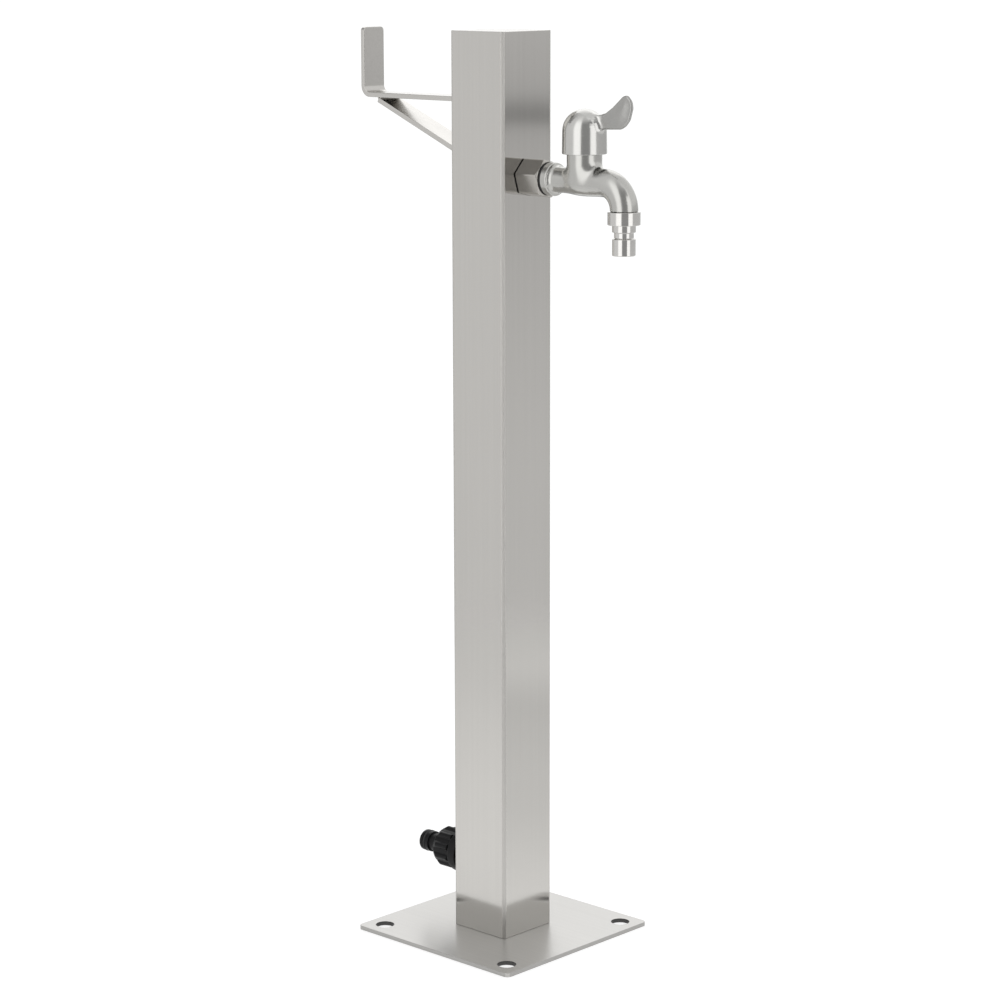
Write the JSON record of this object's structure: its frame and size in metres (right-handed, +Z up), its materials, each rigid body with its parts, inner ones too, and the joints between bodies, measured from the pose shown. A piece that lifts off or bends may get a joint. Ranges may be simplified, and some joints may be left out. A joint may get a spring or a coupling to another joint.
{
  "type": "garden standpipe",
  "caption": "Freestanding square steel garden standpipe with a quarter-turn hose tap, a hose hook and a low click-fit water inlet on a bolt-down base plate.",
  "frame": {"origin": "on the ground, on the axis of the post, at the centre of the four anchor holes", "axes": "+Z up along the post, -Y towards the tap, +Y towards the hose hook and the water inlet"},
  "size_m": [0.15, 0.2535, 0.65],
  "materials": {
    "brushed_steel": "stainless sheet and tube with a fine lengthwise brushed grain",
    "cast_steel": "cast stainless steel, satin",
    "turned_steel": "turned stainless steel, bright satin",
    "brass": "machined brass",
    "black_rubber": "moulded rubber",
    "black_plastic": "moulded plastic, satin gloss",
    "ceramic": "lapped ceramic",
    "steel_braid": "woven stainless wire"
  },
  "bodies": {
    "standpipe": {"base_plate": "brushed_steel", "post_tube": "brushed_steel", "top_cap": "brushed_steel", "hook_bar": "brushed_steel", "hook_brace": "brushed_steel", "wall_gasket": "black_rubber", "wall_socket": "turned_steel", "tap_gasket": "black_rubber", "tap_body": "cast_steel", "cartridge_body": "brass", "cartridge_ring": "black_rubber", "seat_seal": "black_rubber", "fixed_disc": "ceramic", "top_elbow": "brass", "top_elbow_washer": "black_rubber", "inlet_elbow": "brass", "inlet_elbow_washer": "black_rubber", "upper_union_nut": "turned_steel", "upper_union_washer": "black_rubber", "upper_hose_tail": "brass", "upper_ferrule": "turned_steel", "lower_union_nut": "turned_steel", "lower_union_washer": "black_rubber", "lower_hose_tail": "brass", "lower_ferrule": "turned_steel", "hose_liner": "black_rubber", "hose_braid": "steel_braid", "inlet_gasket": "black_rubber", "inlet_lock_nut": "brass"},
    "handle": {"lever_handle": "cast_steel", "handle_grub_screw": "turned_steel", "spindle": "brass", "spindle_rings": "black_rubber", "spindle_clip": "turned_steel", "moving_disc": "ceramic"},
    "outlet": {"hose_nipple": "turned_steel", "nipple_washer": "black_rubber"},
    "outlet_nut": {"hose_nut": "turned_steel"},
    "inlet_seal": {"adaptor_washer": "black_rubber"},
    "inlet_fitting": {"inlet_adaptor": "black_plastic", "nose_ring": "black_rubber"}
  },
  "joints": [
    {"name": "handle_turn", "type": "hinge", "parent": "standpipe", "child": "handle", "pos_m": [0, -0.0776, 0.57], "axis": [0, 0, 1], "range_deg": [0, 90]},
    {"name": "outlet_travel", "type": "slide", "parent": "standpipe", "child": "outlet", "axis": [0, 0, -1], "range_m": [0, 0.004]},
    {"name": "nut_turn", "type": "hinge", "parent": "outlet", "child": "outlet_nut", "pos_m": [0, -0.1133, 0.527], "axis": [0, 0, -1], "range_deg": [0, 1440]},
    {"name": "inlet_travel", "type": "slide", "parent": "standpipe", "child": "inlet_seal", "axis": [0, 1, 0], "range_m": [0, 0.01]},
    {"name": "inlet_turn", "type": "hinge", "parent": "inlet_seal", "child": "inlet_fitting", "pos_m": [0, 0.05, 0.05], "axis": [0, 1, 0], "range_deg": [0, 1980]}
  ],
  "couplings": [
    {"joint": "nut_turn", "follows": "outlet_travel", "rad_per_m": 6283.2},
    {"joint": "inlet_turn", "follows": "inlet_travel", "rad_per_m": 3455.8}
  ]
}
